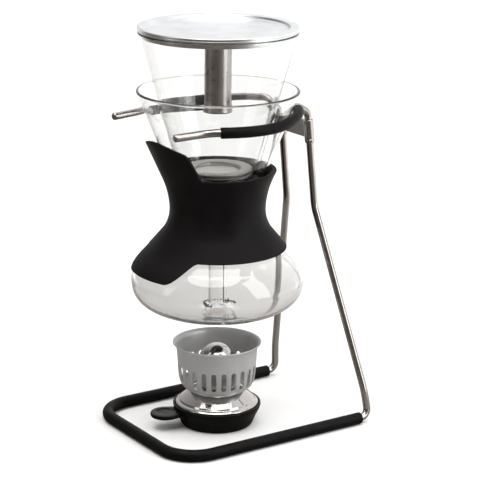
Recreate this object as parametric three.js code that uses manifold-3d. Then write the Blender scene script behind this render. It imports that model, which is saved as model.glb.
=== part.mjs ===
// Glass vacuum coffee brewer: a blown carafe and funnel in a bent-rod stand, with a spirit burner.
// Millimetres. The origin is on the table under the carafe's axis, +Z is up, and the stand's fork
// opens towards -Y, which is the front.
import * as THREE from "three";
import { mergeVertices } from "three/addons/utils/BufferGeometryUtils.js";
import Module from "manifold-3d";

const wasm = await Module();
wasm.setup();

// ---- Driving dimensions --------------------------------------------------------------------

const gap = 0.3; // clearance between neighbouring pieces

// Stand: a 7 mm rod with rubber sleeves, and collars that join the legs to the fork arms.
const rodRadius = 3.5;
const rodSides = 10;
const sleeveBore = rodRadius + gap;
const baseSleeveRadius = 5.5;
const armSleeveRadius = 5;
const collarRadius = 4.75;
const frontBarY = -87.9;
const frontHalfWidth = 78.8;
const frontCornerRadius = 33;
const footHalfWidth = 78.4;
const footY = 121.5;
const footBendRadius = 8;
const baseSleeveEndY = 112;
const ankle = new THREE.Vector3(75, 118.6, 31);
const ankleBendRadius = 90;
const knee = new THREE.Vector3(22.8, 93.9, 204);
const kneeBendRadius = 40;
const legTop = new THREE.Vector3(21.9, 85.6, 288.5);
const collarBottomZ = 266.5;
const legRodEndZ = 276.8;
const armRodStartZ = 277.6;
const plateThickness = 2;

// Fork arms: a ring arc that carries the carafe's cone, then straight tips.
const ringZ = 297.3;
const ringRise = 5.1;
const ringRiseStart = 8;
const ringRiseSpan = 60;
const ringRearAngle = 66;
const ringFrontAngle = -34;
const ringStep = 8;
const sleeveFrontAngle = -31;
const sleeveRearAngle = { left: 34, right: 62 };
const armBend = new THREE.Vector3(55.8, -51, 297);
const armTip = new THREE.Vector3(53.3, -76.5, 296);

// Glass: walls of about 2 mm. Slopes are the growth of radius with height.
const glassWall = 2;
const carafeRimZ = 322;
const carafeRimRadius = 75;
const coneRefZ = 271;
const coneRefRadius = 55.4;
const coneSlope = 0.396;
const waistZ = 211;
const waistRadius = 40;
const bowlRadius = 80.4;
const bowlWidestZ = 144.5;
const bowlBottomZ = 110.2;
const puntRadius = 25;
const puntHeight = 4;
const funnelRimZ = 376;
const funnelRimRadius = 73.3;
const funnelSlope = 0.2806;
const stemRadius = 8.7;
const stemWall = 1.7;
const stemEndZ = 118.5;
const hookAngle = THREE.MathUtils.degToRad(56.6);

// Grip band: heights of its top and bottom edges, in front and round the rest.
const bandTop = { front: 281, rest: 248, shoulder: 274, shoulderAngle: 29, endAngle: 43 };
const bandBottom = { front: 155.5, rest: 174, flatAngle: 20, endAngle: 42 };
const bandWall = 4.4;

// Lid, filter and burner.
const springLowZ = 203;
const lidRadius = 73.5;
const lidBottomZ = funnelRimZ + gap;
const lidHeight = 4.5;
const lidTubeBottomZ = 304;
const lampRadius = 41.7;
const lampTopZ = 35;
const tabTurn = THREE.MathUtils.degToRad(-11.5);
const tabReach = 52;
const tabRootY = 39.1;
const tabRootHalfWidth = 10.5;
const tabRadius = 14.2;
const tabTopZ = 16.5;
const tabThickness = 4;
const guardBottomZ = 34.1;
const guardWall = 1.2;
const slotCount = 24;
const slotWidth = 4.9;
const slotLowZ = 41.5;
const slotHighZ = 60;
const capRadius = 17.3;
const capApexZ = 78.7;

// ---- Materials -------------------------------------------------------------------------------

function material(color, roughness, metalness, opacity = 1) {
  return new THREE.MeshStandardMaterial({
    color,
    roughness,
    metalness,
    opacity,
    transparent: opacity < 1,
  });
}

const rodSteel = material(0xc9c4be, 0.25, 1);
const polishedSteel = material(0xd2cfcb, 0.12, 1);
const satinSteel = material(0xb4b0ab, 0.45, 1);
const aluminium = material(0xaeacaa, 0.5, 1);
const blackRubber = material(0x141414, 0.7, 0);
const silicone = material(0x1a191b, 0.6, 0);
const blackPlastic = material(0x121212, 0.35, 0);
const glass = material(0xf2f6f6, 0.05, 0, 0.3);
const gasketRubber = material(0x2a2a2c, 0.75, 0);
const filterPaper = material(0xf0eee6, 0.95, 0);
const cotton = material(0xe8e2d2, 1, 0);

// ---- Solid helpers ---------------------------------------------------------------------------

const brewer = new THREE.Group();

// Turns a closed geometry into a solid whose faces point out.
function solid(geometry) {
  const bare = geometry.clone();
  bare.deleteAttribute("normal");
  bare.deleteAttribute("uv");
  const merged = mergeVertices(bare, 1e-3);
  const kept = [];
  const index = merged.index.array;
  for (let i = 0; i < index.length; i += 3) {
    const [a, b, c] = index.slice(i, i + 3);
    if (a !== b && b !== c && c !== a) kept.push(a, b, c);
  }
  const vertProperties = merged.attributes.position.array;
  const build = (triVerts) =>
    new wasm.Manifold(new wasm.Mesh({ numProp: 3, vertProperties, triVerts }));
  const made = build(new Uint32Array(kept));
  return made.volume() < 0 ? build(new Uint32Array(kept.reverse())) : made;
}

function addPiece(name, shape, finish) {
  const body = shape.isBufferGeometry ? solid(shape) : shape;
  const mesh = body.getMesh();
  const geometry = new THREE.BufferGeometry();
  geometry.setAttribute("position", new THREE.BufferAttribute(mesh.vertProperties, 3));
  geometry.setIndex(new THREE.BufferAttribute(mesh.triVerts, 1));
  const piece = new THREE.Mesh(geometry, finish);
  piece.name = name;
  brewer.add(piece);
  return piece;
}

// A regular polygon with flats at both ends of its x axis, and an optional bore.
function roundSection(radius, sides = rodSides, bore = 0) {
  const corners = (r) =>
    Array.from({ length: sides }, (_, k) => {
      const angle = ((k + 0.5) / sides) * 2 * Math.PI;
      return new THREE.Vector2(r * Math.cos(angle), r * Math.sin(angle));
    });
  const shape = new THREE.Shape(corners(radius));
  if (bore) shape.holes.push(new THREE.Path(corners(bore)));
  return shape;
}

// A curve whose even steps fall on the given stations, so that bends can be finer than straights.
class StationCurve extends THREE.Curve {
  constructor(stations) {
    super();
    this.stations = stations;
  }
  getPoint(t, target = new THREE.Vector3()) {
    const place = t * (this.stations.length - 1);
    const before = Math.min(Math.floor(place), this.stations.length - 2);
    return target.lerpVectors(this.stations[before], this.stations[before + 1], place - before);
  }
  getUtoTmapping(u) {
    return u;
  }
}

function sweep(stations, section) {
  return solid(
    new THREE.ExtrudeGeometry(section, {
      steps: stations.length - 1,
      extrudePath: new StationCurve(stations),
    }),
  );
}

// Replaces each inner corner of a polyline by an arc of its own radius.
function bend(points, radii, step = 11) {
  const stations = [points[0]];
  for (let i = 1; i < points.length - 1; i++) {
    const into = points[i].clone().sub(points[i - 1]).normalize();
    const out = points[i + 1].clone().sub(points[i]).normalize();
    const turn = into.angleTo(out);
    const tangent = radii[i - 1] * Math.tan(turn / 2);
    const toCentre = out.clone().sub(into).normalize();
    const centre = points[i].clone().addScaledVector(toCentre, radii[i - 1] / Math.cos(turn / 2));
    const start = points[i].clone().addScaledVector(into, -tangent).sub(centre);
    const pieces = Math.max(1, Math.ceil(THREE.MathUtils.radToDeg(turn) / step));
    for (let k = 0; k <= pieces; k++) {
      const angle = (turn * k) / pieces;
      stations.push(
        centre
          .clone()
          .addScaledVector(start, Math.cos(angle))
          .addScaledVector(into, radii[i - 1] * Math.sin(angle)),
      );
    }
  }
  stations.push(points.at(-1));
  return stations;
}

function mirrored(point) {
  return new THREE.Vector3(-point.x, point.y, point.z);
}

const largeSegments = 28;

// A body of revolution from [radius, height] pairs that close on themselves or on the axis.
function turned(profile, segments = 24) {
  const points = profile.map(([r, z]) => new THREE.Vector2(r, z));
  const closes = points[0].x === 0 && points.at(-1).x === 0;
  if (!closes) points.push(points[0].clone());
  return solid(new THREE.LatheGeometry(points, segments).rotateX(Math.PI / 2));
}

// Moves an open [radius, height] outline sideways by a distance, inwards when it is positive.
function inset(outline, distance) {
  return outline.map(([r, z], i) => {
    const [r0, z0] = outline[Math.max(i - 1, 0)];
    const [r1, z1] = outline[Math.min(i + 1, outline.length - 1)];
    const length = Math.hypot(r1 - r0, z1 - z0);
    const moved = r - (distance * (z1 - z0)) / length;
    return [r === 0 ? 0 : Math.max(moved, 0.5), z + (distance * (r1 - r0)) / length];
  });
}

function smooth(t) {
  const x = THREE.MathUtils.clamp(t, 0, 1);
  return x * x * (3 - 2 * x);
}

// Radius at a height on a curve through [radius, height] points.
function radiusAt(outline, z) {
  const i = Math.min(
    Math.max(outline.findIndex(([, height]) => height >= z), 1),
    outline.length - 1,
  );
  const [r0, z0] = outline[i - 1];
  const [r1, z1] = outline[i];
  return r0 + ((r1 - r0) * (z - z0)) / (z1 - z0);
}

// ---- Stand -----------------------------------------------------------------------------------

const footCorner = new THREE.Vector3(footHalfWidth, footY, baseSleeveRadius);
const frontCorner = new THREE.Vector3(frontHalfWidth, frontBarY, baseSleeveRadius);

function onLeg(z) {
  return knee.clone().lerp(legTop, (z - knee.z) / (legTop.z - knee.z));
}

function standRod() {
  const right = [onLeg(legRodEndZ), knee, ankle, footCorner, frontCorner];
  const radii = [kneeBendRadius, ankleBendRadius, footBendRadius, frontCornerRadius];
  const points = [...right, ...right.map(mirrored).reverse()];
  return sweep(bend(points, [...radii, ...radii.toReversed()]), roundSection(rodRadius));
}

function baseSleeve() {
  const along = (footY - baseSleeveEndY) / (footY - frontBarY);
  const end = footCorner.clone().lerp(frontCorner, along);
  const points = [end, frontCorner, mirrored(frontCorner), mirrored(end)];
  const sides = 12;
  const outer = baseSleeveRadius / Math.cos(Math.PI / sides);
  const section = roundSection(outer, sides, sleeveBore);
  return sweep(bend(points, [frontCornerRadius, frontCornerRadius]), section);
}

// The carafe's cone at the fork, where its radius grows evenly with height.
function coneRadius(z) {
  return coneRefRadius + coneSlope * (z - coneRefZ);
}

// A point of the fork's ring, by its angle from +X towards the rear.
function onRing(degrees) {
  const angle = THREE.MathUtils.degToRad(degrees);
  const z = ringZ + ringRise * smooth((degrees - ringRiseStart) / ringRiseSpan);
  const clearance = (armSleeveRadius + gap) * Math.hypot(1, coneSlope);
  const radius = coneRadius(z) + clearance;
  return new THREE.Vector3(radius * Math.cos(angle), radius * Math.sin(angle), z);
}

function ringStations(from, to) {
  const count = Math.ceil(Math.abs(to - from) / ringStep);
  return Array.from({ length: count + 1 }, (_, k) => onRing(from + ((to - from) * k) / count));
}

function armRod() {
  const overCollar = new THREE.Vector3(21.6, 84.9, 296);
  const turnOut = new THREE.Vector3(22.8, 72.4, 302.8);
  const ring = ringStations(ringRearAngle, ringFrontAngle);
  const rear = bend([onLeg(armRodStartZ), overCollar, turnOut, ring[0]], [9.5, 7.5], 18);
  const front = bend([ring.at(-1), armBend, armTip], [40], 6);
  const rod = sweep([...rear, ...ring.slice(1, -1), ...front], roundSection(rodRadius));
  const tip = new THREE.SphereGeometry(rodRadius, rodSides, 6);
  return rod.add(solid(tip.translate(armTip.x, armTip.y, armTip.z)));
}

function armSleeve(rearAngle) {
  const section = roundSection(armSleeveRadius, 12, sleeveBore);
  return sweep(ringStations(rearAngle, sleeveFrontAngle), section);
}

function collar() {
  const section = roundSection(collarRadius, 12, rodRadius + gap);
  return sweep([onLeg(collarBottomZ), onLeg(legTop.z)], section);
}

// Sheet between the collars, in the legs' plane, with its lower corners cut off.
function bracketPlate() {
  const halfWidth = legTop.x - collarRadius - gap;
  const height = 17;
  const cut = 3;
  const outline = new THREE.Shape([
    new THREE.Vector2(-halfWidth, cut),
    new THREE.Vector2(-halfWidth + cut, 0),
    new THREE.Vector2(halfWidth - cut, 0),
    new THREE.Vector2(halfWidth, cut),
    new THREE.Vector2(halfWidth, height),
    new THREE.Vector2(-halfWidth, height),
  ]);
  const sheet = new THREE.ExtrudeGeometry(outline, { depth: plateThickness, bevelEnabled: false });
  const lean = Math.atan2(knee.y - legTop.y, legTop.z - knee.z);
  const foot = onLeg(collarBottomZ + 4);
  sheet.translate(0, 0, -plateThickness / 2);
  sheet.rotateX(Math.PI / 2 + lean);
  sheet.translate(0, foot.y, foot.z);
  return sheet;
}

// A mirrored copy for the left side.
function leftOf(body) {
  return body.mirror([1, 0, 0]);
}

addPiece("stand_rod", standRod(), rodSteel);
addPiece("base_sleeve", baseSleeve(), blackRubber);
addPiece("bracket_plate", bracketPlate(), satinSteel);
addPiece("collar_right", collar(), rodSteel);
addPiece("collar_left", leftOf(collar()), rodSteel);
addPiece("arm_rod_right", armRod(), rodSteel);
addPiece("arm_rod_left", leftOf(armRod()), rodSteel);
addPiece("arm_sleeve_right", armSleeve(sleeveRearAngle.right), blackRubber);
addPiece("arm_sleeve_left", leftOf(armSleeve(sleeveRearAngle.left)), blackRubber);

// ---- Carafe ----------------------------------------------------------------------------------

// The lower bowl is a flattened superellipse up to its widest height.
function bowlOutline() {
  const flatness = 2.7;
  const roundness = 3.14;
  const fractions = [0.02, 0.08, 0.2, 0.38, 0.62, 1];
  return fractions.map((t) => [
    bowlRadius * (1 - (1 - t) ** flatness) ** (1 / roundness),
    bowlBottomZ + t * (bowlWidestZ - bowlBottomZ),
  ]);
}

const shoulderOutline = [
  [77.8, 151.5],
  [71.6, 161],
  [60.6, 173],
  [51.8, 183.5],
  [44.4, 196],
  [waistRadius, waistZ],
  [waistRadius + 1.2, 225],
  [43.2, 236],
  [47, 249],
];

function carafeOutline() {
  const punt = [
    [0, bowlBottomZ + puntHeight],
    [puntRadius * 0.6, bowlBottomZ + puntHeight - 1.2],
    [puntRadius, bowlBottomZ],
  ];
  const cone = [coneRefZ, carafeRimZ - 3].map((z) => [coneRadius(z), z]);
  return [...punt, ...bowlOutline(), ...shoulderOutline, ...cone];
}

function carafeGlass() {
  const outside = carafeOutline();
  const inside = inset(outside, glassWall);
  const rim = [
    [carafeRimRadius, carafeRimZ - 0.9],
    [carafeRimRadius - 0.6, carafeRimZ],
    [carafeRimRadius - 1.8, carafeRimZ - 0.3],
  ];
  return turned([...outside, ...rim, ...inside.reverse()], largeSegments);
}

// Height of the band's edges by angle from the front, in degrees.
function bandTopZ(angle) {
  const { front, rest, shoulder, shoulderAngle, endAngle } = bandTop;
  const away = Math.abs(angle);
  if (away <= shoulderAngle) return front + (shoulder - front) * (away / shoulderAngle) ** 1.6;
  return shoulder + (rest - shoulder) * smooth((away - shoulderAngle) / (endAngle - shoulderAngle));
}

function bandBottomZ(angle) {
  const { front, rest, flatAngle, endAngle } = bandBottom;
  return front + (rest - front) * smooth((Math.abs(angle) - flatAngle) / (endAngle - flatAngle));
}

const bandOutline = [
  [85, 150],
  [83.6, 154],
  [79.8, 159.5],
  [72.4, 167.5],
  [65.3, 174],
  [60.4, 179.5],
  [54.9, 186],
  [49.7, 192.5],
  [45.9, 201],
  [44.5, 211],
  [45.9, 223],
  [49.3, 235.5],
  [56.4, 251.6],
  [62.7, 265.7],
  [65.4, 271.4],
  [70.2, 282],
];

// A sleeve with a plain section, whose points then move to the band's edges and radii.
function gripBand() {
  const rows = 8;
  const wall = Array.from({ length: rows + 1 }, (_, k) => k / rows);
  const section = [...wall.map((t) => [2, t]), ...wall.toReversed().map((t) => [1, t])];
  section.push(section[0]);
  const points = section.map(([side, t]) => new THREE.Vector2(side, t));
  const geometry = new THREE.LatheGeometry(points, 36).rotateX(Math.PI / 2);
  const outside = carafeOutline().filter(([r, z]) => r > 0 && z >= bowlWidestZ);
  const position = geometry.attributes.position;
  for (let i = 0; i < position.count; i++) {
    const [x, y, t] = [position.getX(i), position.getY(i), position.getZ(i)];
    const side = Math.round(Math.hypot(x, y));
    const angle = THREE.MathUtils.radToDeg(Math.atan2(x, -y));
    const z = bandBottomZ(angle) + t * (bandTopZ(angle) - bandBottomZ(angle));
    const outer = radiusAt(bandOutline, z);
    const inner = Math.max(outer - bandWall, radiusAt(outside, z) + 2 * gap);
    const radius = side === 2 ? outer : inner;
    position.setXYZ(i, (x / side) * radius, (y / side) * radius, z);
  }
  return geometry;
}

addPiece("carafe_glass", carafeGlass(), glass);
addPiece("grip_band", gripBand(), silicone);

// ---- Funnel, gasket and filter ---------------------------------------------------------------

function funnelRadius(z) {
  return funnelRimRadius - funnelSlope * (funnelRimZ - z);
}

function funnelGlass() {
  const outside = [
    [stemRadius, stemEndZ],
    [stemRadius, 229],
    [9.6, 232.2],
    [12, 234],
    [20, 235.6],
    [28, 238.4],
    [33.2, 242.2],
    [36, 247],
    [funnelRadius(255), 255],
    [funnelRadius(funnelRimZ - 1), funnelRimZ - 1],
  ];
  const bore = stemRadius - stemWall;
  const inside = [
    [bore, stemEndZ + 0.01],
    [bore, 231],
    [8.2, 234.4],
    [11, 236],
    ...inset(outside, glassWall).slice(4),
  ];
  const rim = [
    [funnelRimRadius - 0.4, funnelRimZ],
    [funnelRimRadius - 1.7, funnelRimZ],
  ];
  return turned([...outside, ...rim, ...inside.reverse()], largeSegments);
}

// Rubber bung round the stem, under the funnel's bottom, that seals the carafe's waist.
function neckGasket() {
  const bore = stemRadius + gap;
  return turned([
    [bore, 207],
    [33.5, 207],
    [36.4, 210],
    [36.9, 213],
    [37, 226],
    [38.6, 236],
    [38, 239.6],
    [33.6, 241.6],
    [28.4, 237.6],
    [20, 234.8],
    [12, 233.2],
    [10.4, 231.8],
    [bore, 229.4],
  ]);
}

// Filter disc, centred on the funnel's axis, from its clamp ring down to its plate.
function filterRing() {
  return turned([
    [20.8, 246.6],
    [30.4, 246.6],
    [31.7, 247.4],
    [31.7, 249.6],
    [30.6, 250.6],
    [22, 249.9],
    [20.8, 249],
  ]);
}

function filterDisc() {
  return turned([
    [0, 244.8],
    [27.6, 244.8],
    [28, 245.4],
    [27.6, 246.3],
    [0, 246.3],
  ]);
}

function filterPlate() {
  const holes = 8;
  const disc = turned([
    [0, 242.7],
    [24, 242.7],
    [26.6, 243.7],
    [26.6, 244.5],
    [0, 244.5],
  ]);
  const drills = Array.from({ length: holes }, (_, k) => {
    const angle = (k / holes) * 2 * Math.PI;
    const drill = new THREE.CylinderGeometry(1.8, 1.8, 8, 6).rotateX(Math.PI / 2);
    return solid(drill.translate(15 * Math.cos(angle), 15 * Math.sin(angle), 243));
  });
  return drills.reduce((body, drill) => body.subtract(drill), disc);
}

function helix(radius, fromZ, toZ, turns, perTurn) {
  const count = turns * perTurn;
  return Array.from({ length: count + 1 }, (_, k) => {
    const angle = (k / perTurn) * 2 * Math.PI;
    const z = fromZ + ((toZ - fromZ) * k) / count;
    return new THREE.Vector3(radius * Math.cos(angle), radius * Math.sin(angle), z);
  });
}

function filterSpring() {
  return sweep(helix(4.2, springLowZ, 241.4, 7, 8), roundSection(0.6, 5));
}

// Wire from the spring's lower end down the stem's wall, that turns round the stem's rim as a hook.
function pullWire() {
  const wireRadius = 0.7;
  const wallX = stemRadius - stemWall - wireRadius - 0.5;
  const hookX = stemRadius + wireRadius + 0.9;
  const hookLowZ = stemEndZ - wireRadius - gap;
  const points = [
    new THREE.Vector3(0, 0, springLowZ - 1),
    new THREE.Vector3(wallX, 0, 184),
    new THREE.Vector3(wallX, 0, hookLowZ),
    new THREE.Vector3(hookX, 0, hookLowZ),
    new THREE.Vector3(hookX, 0, 123),
  ];
  const upwards = new THREE.Vector3(0, 0, 1);
  const line = bend(points, [40, 1.4, 1.4], 30).map((p) => p.clone().applyAxisAngle(upwards, hookAngle));
  return sweep(line, roundSection(wireRadius, 6));
}

addPiece("funnel_glass", funnelGlass(), glass);
addPiece("neck_gasket", neckGasket(), gasketRubber);
addPiece("filter_ring", filterRing(), satinSteel);
addPiece("filter_paper", filterDisc(), filterPaper);
addPiece("filter_plate", filterPlate(), satinSteel);
addPiece("filter_spring", filterSpring(), rodSteel);
addPiece("pull_wire", pullWire(), rodSteel);

// ---- Lid -------------------------------------------------------------------------------------

function lidPlate() {
  const top = lidBottomZ + lidHeight;
  return turned(
    [
      [0, top - 3.2],
      [62, top - 3.2],
      [63.4, top - 2.8],
      [64.6, top - 0.6],
      [66, top],
      [72.4, top],
      [lidRadius, top - 1],
      [lidRadius, lidBottomZ + 0.4],
      [lidRadius - 0.6, lidBottomZ],
      [70, lidBottomZ],
      [69.4, lidBottomZ - 5],
      [68.2, lidBottomZ - 5],
      [68.6, lidBottomZ],
      [64, top - 4.1],
      [0, top - 4.1],
    ],
    largeSegments,
  );
}

// Open tube under the lid, wide enough to hold the funnel's stem when the lid is turned over.
function lidTube() {
  const top = lidBottomZ + lidHeight - 4.1 - gap;
  return turned([
    [12.4, top],
    [12.4, 330],
    [12.9, lidTubeBottomZ + 6],
    [13.2, lidTubeBottomZ + 2],
    [13.5, lidTubeBottomZ + 1],
    [13.2, lidTubeBottomZ],
    [12.5, lidTubeBottomZ + 0.4],
    [12.2, lidTubeBottomZ + 2],
    [11.9, lidTubeBottomZ + 6],
    [11.4, 330],
    [11.4, top],
  ]);
}

addPiece("lid_plate", lidPlate(), satinSteel);
addPiece("lid_tube", lidTube(), polishedSteel);

// ---- Burner ----------------------------------------------------------------------------------

function lampBase() {
  const cup = turned([
    [0, 0],
    [33.2, 0],
    [34.2, 1],
    [37.4, 9],
    [40.7, 15.6],
    [lampRadius, 18.4],
    [lampRadius, 20],
    [40.9, 20.8],
    [39.9, 20.2],
    [39.4, 18],
    [33, 5.6],
    [31.4, 4],
    [0, 4],
  ]);
  const leaf = new THREE.Shape();
  leaf.moveTo(-tabRootHalfWidth, -tabRootY);
  leaf.lineTo(tabRootHalfWidth, -tabRootY);
  leaf.lineTo(tabRadius * Math.cos(0.35), -tabReach + tabRadius * Math.sin(0.35));
  leaf.absarc(0, -tabReach, tabRadius, 0.35, Math.PI - 0.35, true);
  const tab = new THREE.ExtrudeGeometry(leaf, {
    depth: tabThickness,
    bevelEnabled: false,
    curveSegments: 20,
  });
  tab.translate(0, 0, tabTopZ - tabThickness);
  const dish = new THREE.CylinderGeometry(9.5, 9.5, 2, 24).rotateX(Math.PI / 2);
  dish.translate(0, -tabReach, tabTopZ + 0.2);
  const leafBody = solid(tab.rotateZ(tabTurn)).subtract(solid(dish.rotateZ(tabTurn)));
  return cup.add(leafBody);
}

function lampBody() {
  const outside = [
    [0, 4 + gap],
    [30.8, 4 + gap],
    [32.4, 6],
    [38.9, 18.2],
    [39.3, 21.4],
    [38.2, 22.6],
    [26, 33.2],
    [20, lampTopZ],
    [10.5, lampTopZ],
  ];
  return turned([...outside, ...inset(outside, 1).reverse()]);
}

function wickHolder() {
  const flange = lampTopZ + gap;
  return turned(
    [
      [5.3, 18],
      [6.3, 18],
      [6.3, flange],
      [14.6, flange],
      [15, flange + 0.6],
      [14.6, flange + 1.2],
      [8.4, flange + 2.2],
      [7, flange + 3.6],
      [6.7, 50],
      [6.2, 51],
      [5.3, 51],
    ],
    20,
  );
}

function wick() {
  return turned(
    [
      [0, 9],
      [4.6, 9],
      [4.8, 10],
      [4.8, 54],
      [4, 56.4],
      [0, 57.6],
    ],
    16,
  );
}

// Slotted bowl of sheet aluminium that stands on the lamp's shoulder.
function windGuard() {
  const outside = [
    [25.2, guardBottomZ],
    [30, 36],
    [33.8, 39.6],
    [36, 46],
    [37.2, 60],
    [39, 77.4],
    [42, 79.6],
    [42, 80.7],
    [39.4, 80.7],
  ];
  const inside = inset(outside.slice(0, 6), guardWall);
  const sheet = turned([...outside, [38.3, 79.4], ...inside.reverse()], slotCount);
  const slot = new THREE.Shape();
  const half = slotWidth / 2;
  slot.absarc(0, slotHighZ - half, half, 0, Math.PI, false);
  slot.absarc(0, slotLowZ + half, half, Math.PI, 2 * Math.PI, false);
  const tool = new THREE.ExtrudeGeometry(slot, { depth: 14, bevelEnabled: false, curveSegments: 3 });
  tool.rotateX(Math.PI / 2).translate(0, -30, 0);
  const cutter = solid(tool);
  return Array.from({ length: slotCount }, (_, k) => ((k + 0.5) * 360) / slotCount).reduce(
    (body, turn) => body.subtract(cutter.rotate([0, 0, turn])),
    sheet,
  );
}

function snufferCap() {
  const low = lampTopZ + gap;
  const dome = (radius) =>
    [0, 20, 40, 60, 90].map((degrees) => {
      const angle = THREE.MathUtils.degToRad(degrees);
      const x = degrees === 90 ? 0 : radius * Math.cos(angle);
      return [x, capApexZ - capRadius + radius * Math.sin(angle)];
    });
  const outside = [[capRadius, low], ...dome(capRadius)];
  const inside = [[capRadius - 1.2, low], ...dome(capRadius - 1.2)];
  return turned([...outside, ...inside.reverse()]);
}

addPiece("lamp_base", lampBase(), blackPlastic);
addPiece("lamp_body", lampBody(), polishedSteel);
addPiece("wick_holder", wickHolder(), satinSteel);
addPiece("wick", wick(), cotton);
addPiece("wind_guard", windGuard(), aluminium);
addPiece("snuffer_cap", snufferCap(), polishedSteel);

// ---- Bead chain ------------------------------------------------------------------------------

// Beads on a fine wire that hang from the hook, round the stem's end, with a tail that stands away.
function boilChain() {
  const bead = 1.25;
  const pitch = 3.4;
  const loopRadius = 12.4;
  const tailReach = 4.5;
  const beads = [];
  let angle = THREE.MathUtils.degToRad(45);
  for (let k = 0; k < 18; k++) {
    const radius = loopRadius + tailReach * (1 - smooth(k / 3));
    const z = 119 - 1.2 * smooth(k / 5);
    beads.push(new THREE.Vector3(radius * Math.cos(angle), radius * Math.sin(angle), z));
    angle += pitch / radius;
  }
  const wire = sweep(beads, roundSection(0.45, 4));
  return beads.reduce((body, place) => {
    const ball = new THREE.IcosahedronGeometry(bead, 0);
    return body.add(solid(ball.translate(place.x, place.y, place.z)));
  }, wire);
}

addPiece("boil_chain", boilChain(), rodSteel);

export default brewer;
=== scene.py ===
"""Looks of a glass vacuum coffee brewer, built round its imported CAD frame.

Lengths are millimetres in the row frame: the table is z = 0, the carafe's axis is the z axis, and the
fork opens towards -Y. They become metres when a mesh is made.
"""

import math

import bmesh
import bpy
import numpy as np
from mathutils import Matrix, Vector


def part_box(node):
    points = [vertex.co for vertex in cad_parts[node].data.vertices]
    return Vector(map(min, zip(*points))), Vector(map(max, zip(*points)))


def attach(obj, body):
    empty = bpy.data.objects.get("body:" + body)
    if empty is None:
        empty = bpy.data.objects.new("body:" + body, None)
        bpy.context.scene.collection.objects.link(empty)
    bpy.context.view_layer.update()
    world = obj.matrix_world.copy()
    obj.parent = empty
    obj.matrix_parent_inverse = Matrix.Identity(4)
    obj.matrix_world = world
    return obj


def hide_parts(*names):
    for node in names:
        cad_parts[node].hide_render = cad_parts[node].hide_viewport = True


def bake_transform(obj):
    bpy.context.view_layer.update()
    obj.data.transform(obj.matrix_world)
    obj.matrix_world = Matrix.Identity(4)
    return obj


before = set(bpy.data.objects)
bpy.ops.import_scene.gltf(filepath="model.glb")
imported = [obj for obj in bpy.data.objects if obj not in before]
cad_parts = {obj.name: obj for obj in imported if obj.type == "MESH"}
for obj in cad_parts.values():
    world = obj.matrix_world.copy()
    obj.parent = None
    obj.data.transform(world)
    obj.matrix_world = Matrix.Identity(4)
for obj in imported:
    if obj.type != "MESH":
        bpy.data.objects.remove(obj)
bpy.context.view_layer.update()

MM = 0.001


def node_box(node):
    """Lowest and highest corner of a CAD node, in millimetres."""
    return [np.array(corner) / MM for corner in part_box(node)]


# ---- Camera, lights and floor ------------------------------------------------------------------


def make_camera():
    """A long lens in front of the object's right side, a little above it."""
    distance, height = 1702, 664
    aim, pitch, roll = 146.425, -15.884, 0.432
    focal_length = 142.7
    turn, nod, lean = (math.radians(angle) for angle in (aim, pitch, roll))
    forward = np.array([math.cos(turn) * math.cos(nod), math.sin(turn) * math.cos(nod), math.sin(nod)])
    level = np.array([math.sin(turn), -math.cos(turn), 0])
    above = np.cross(level, forward)
    right = level * math.cos(lean) + above * math.sin(lean)
    up = np.cross(right, forward)
    place = (heading(camera_azimuth) * distance + [0, 0, height]) * MM
    camera = bpy.data.objects.new("camera", bpy.data.cameras.new("camera"))
    bpy.context.scene.collection.objects.link(camera)
    rows = np.column_stack([right, up, -forward, place])
    camera.matrix_world = Matrix([*rows.tolist(), [0, 0, 0, 1]])
    camera.data.lens = focal_length
    camera.data.clip_start = 0.05
    camera.data.clip_end = 60
    bpy.context.scene.camera = camera


def softbox(name, azimuth, elevation, distance, size, radiance):
    """A rectangular light that faces the object's middle. Radiance is the brightness of its face."""
    width, length = size
    light = bpy.data.lights.new(name, "AREA")
    light.shape = "RECTANGLE"
    light.size = width
    light.size_y = length
    light.energy = radiance * math.pi * width * length
    back = heading(azimuth, elevation)
    middle = np.array([0, 0, 0.18])
    lamp = bpy.data.objects.new(name, light)
    bpy.context.scene.collection.objects.link(lamp)
    side = np.cross([0, 0, 1], back)
    side = side / np.linalg.norm(side)
    rows = np.column_stack([side, np.cross(back, side), back, middle + back * distance])
    lamp.matrix_world = Matrix([*rows.tolist(), [0, 0, 0, 1]])


def heading(azimuth, elevation=0):
    """The direction to a place round the object. Azimuth 0 is the front, and 90 is the right."""
    around, above = math.radians(azimuth), math.radians(elevation)
    level = math.cos(above)
    return np.array([math.sin(around) * level, -math.cos(around) * level, math.sin(above)])


def ramp_along(tree, where, direction, stops):
    """A colour that changes along a direction, from (distance, colour) stops."""
    dot = tree.nodes.new("ShaderNodeVectorMath")
    dot.operation = "DOT_PRODUCT"
    tree.links.new(where, dot.inputs[0])
    dot.inputs[1].default_value = direction
    low, high = stops[0][0], stops[-1][0]
    share = tree.nodes.new("ShaderNodeMapRange")
    tree.links.new(dot.outputs["Value"], share.inputs["Value"])
    share.inputs["From Min"].default_value = low
    share.inputs["From Max"].default_value = high
    ramp = tree.nodes.new("ShaderNodeValToRGB")
    tree.links.new(share.outputs["Result"], ramp.inputs["Fac"])
    elements = ramp.color_ramp.elements
    for place, color in stops[1:-1]:
        elements.new((place - low) / (high - low))
    for element, (place, color) in zip(elements, stops):
        element.color = (*color, 1)
    return ramp.outputs["Color"]


def split_by_ray(tree, ray, usual, special, output):
    """Shows one shader to rays of one kind, and the usual one to all others."""
    path = tree.nodes.new("ShaderNodeLightPath")
    mix = tree.nodes.new("ShaderNodeMixShader")
    links = [(path.outputs[ray], 0), (usual.outputs[0], 1), (special.outputs[0], 2)]
    for source, socket in links:
        tree.links.new(source, mix.inputs[socket])
    tree.links.new(mix.outputs[0], tree.nodes[output].inputs["Surface"])


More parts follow.
